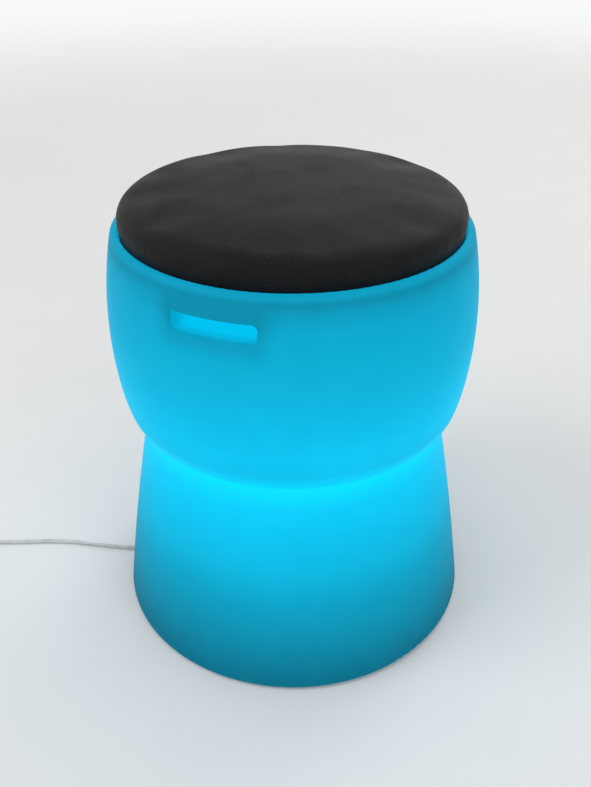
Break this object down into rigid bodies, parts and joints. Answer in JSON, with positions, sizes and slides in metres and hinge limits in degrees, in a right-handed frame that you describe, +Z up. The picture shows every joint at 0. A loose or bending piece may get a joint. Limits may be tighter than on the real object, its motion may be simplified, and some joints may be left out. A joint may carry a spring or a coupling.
{
  "type": "illuminated stool",
  "caption": "Round stepped outdoor light stool: hollow glowing shell with hand grips, padded seat that lifts out, screw-in lamp inside and a coiled mains cord.",
  "frame": {"origin": "on the floor, under the centre of the round base", "axes": "+Z up along the stool's axis; the hand grips face -Y and +Y; the cord leaves the base towards -X, turned 17 degrees to -Y"},
  "size_m": [0.6111, 0.4943, 0.45],
  "materials": {
    "glow_shell": "translucent satin polyethylene, lit from inside",
    "base_plastic": "satin",
    "seal_rubber": "matt",
    "foot_rubber": "matt",
    "brass": "satin",
    "screw_steel": "satin",
    "bracket_steel": "zinc plated",
    "holder_plastic": "satin",
    "ceramic": "glazed ceramic",
    "cap_metal": "nickel plated",
    "lamp_plastic": "satin",
    "circuit_board": "satin",
    "led_plate": "white coated",
    "led_phosphor": "gloss",
    "opal_dome": "opal, lit from inside",
    "flex_pvc": "satin",
    "core_pvc": "satin",
    "tie_plastic": "satin",
    "plywood": "raw",
    "seat_foam": "open-cell foam",
    "seat_vinyl": "soft satin vinyl",
    "pin_sleeve": "satin",
    "pin_metal": "nickel plated"
  },
  "bodies": {
    "stool": {"shell": "glow_shell", "base_plate": "base_plastic", "base_gasket": "seal_rubber", "base_inserts": "brass", "base_screws": "screw_steel", "foot_1": "foot_rubber", "foot_2": "foot_rubber", "foot_3": "foot_rubber", "foot_4": "foot_rubber", "lamp_bracket": "bracket_steel", "bracket_screws": "screw_steel", "threaded_nipple": "brass", "nipple_nut": "brass", "lampholder_cap": "holder_plastic", "lampholder_skirt": "holder_plastic", "contact_block": "ceramic", "screw_sleeve": "brass", "centre_contact": "brass", "cord_grommet": "seal_rubber", "cord_clamp": "holder_plastic", "clamp_screws": "screw_steel", "lead_in": "flex_pvc", "core_leads": "core_pvc", "flex": "flex_pvc", "flex_coil": "flex_pvc", "coil_tie": "tie_plastic", "flex_tail": "flex_pvc", "plug_body": "flex_pvc", "pin_sleeves": "pin_sleeve", "plug_pins": "pin_metal"},
    "seat": {"seat_board": "plywood", "seat_foam": "seat_foam", "seat_cover": "seat_vinyl", "cover_staples": "screw_steel"},
    "bulb": {"bulb_cap": "cap_metal", "bulb_contact": "brass", "bulb_housing": "lamp_plastic", "driver_board": "circuit_board", "led_board": "led_plate", "leds": "led_phosphor", "bulb_dome": "opal_dome"}
  },
  "joints": [
    {"name": "seat_lift", "type": "slide", "parent": "stool", "child": "seat", "axis": [0, 0, 1], "range_m": [0, 0.08]},
    {"name": "bulb_unscrew", "type": "hinge", "parent": "stool", "child": "bulb", "pos_m": [0, 0, 0.118], "axis": [0, 0, 1], "range_deg": [0, 1980]}
  ]
}
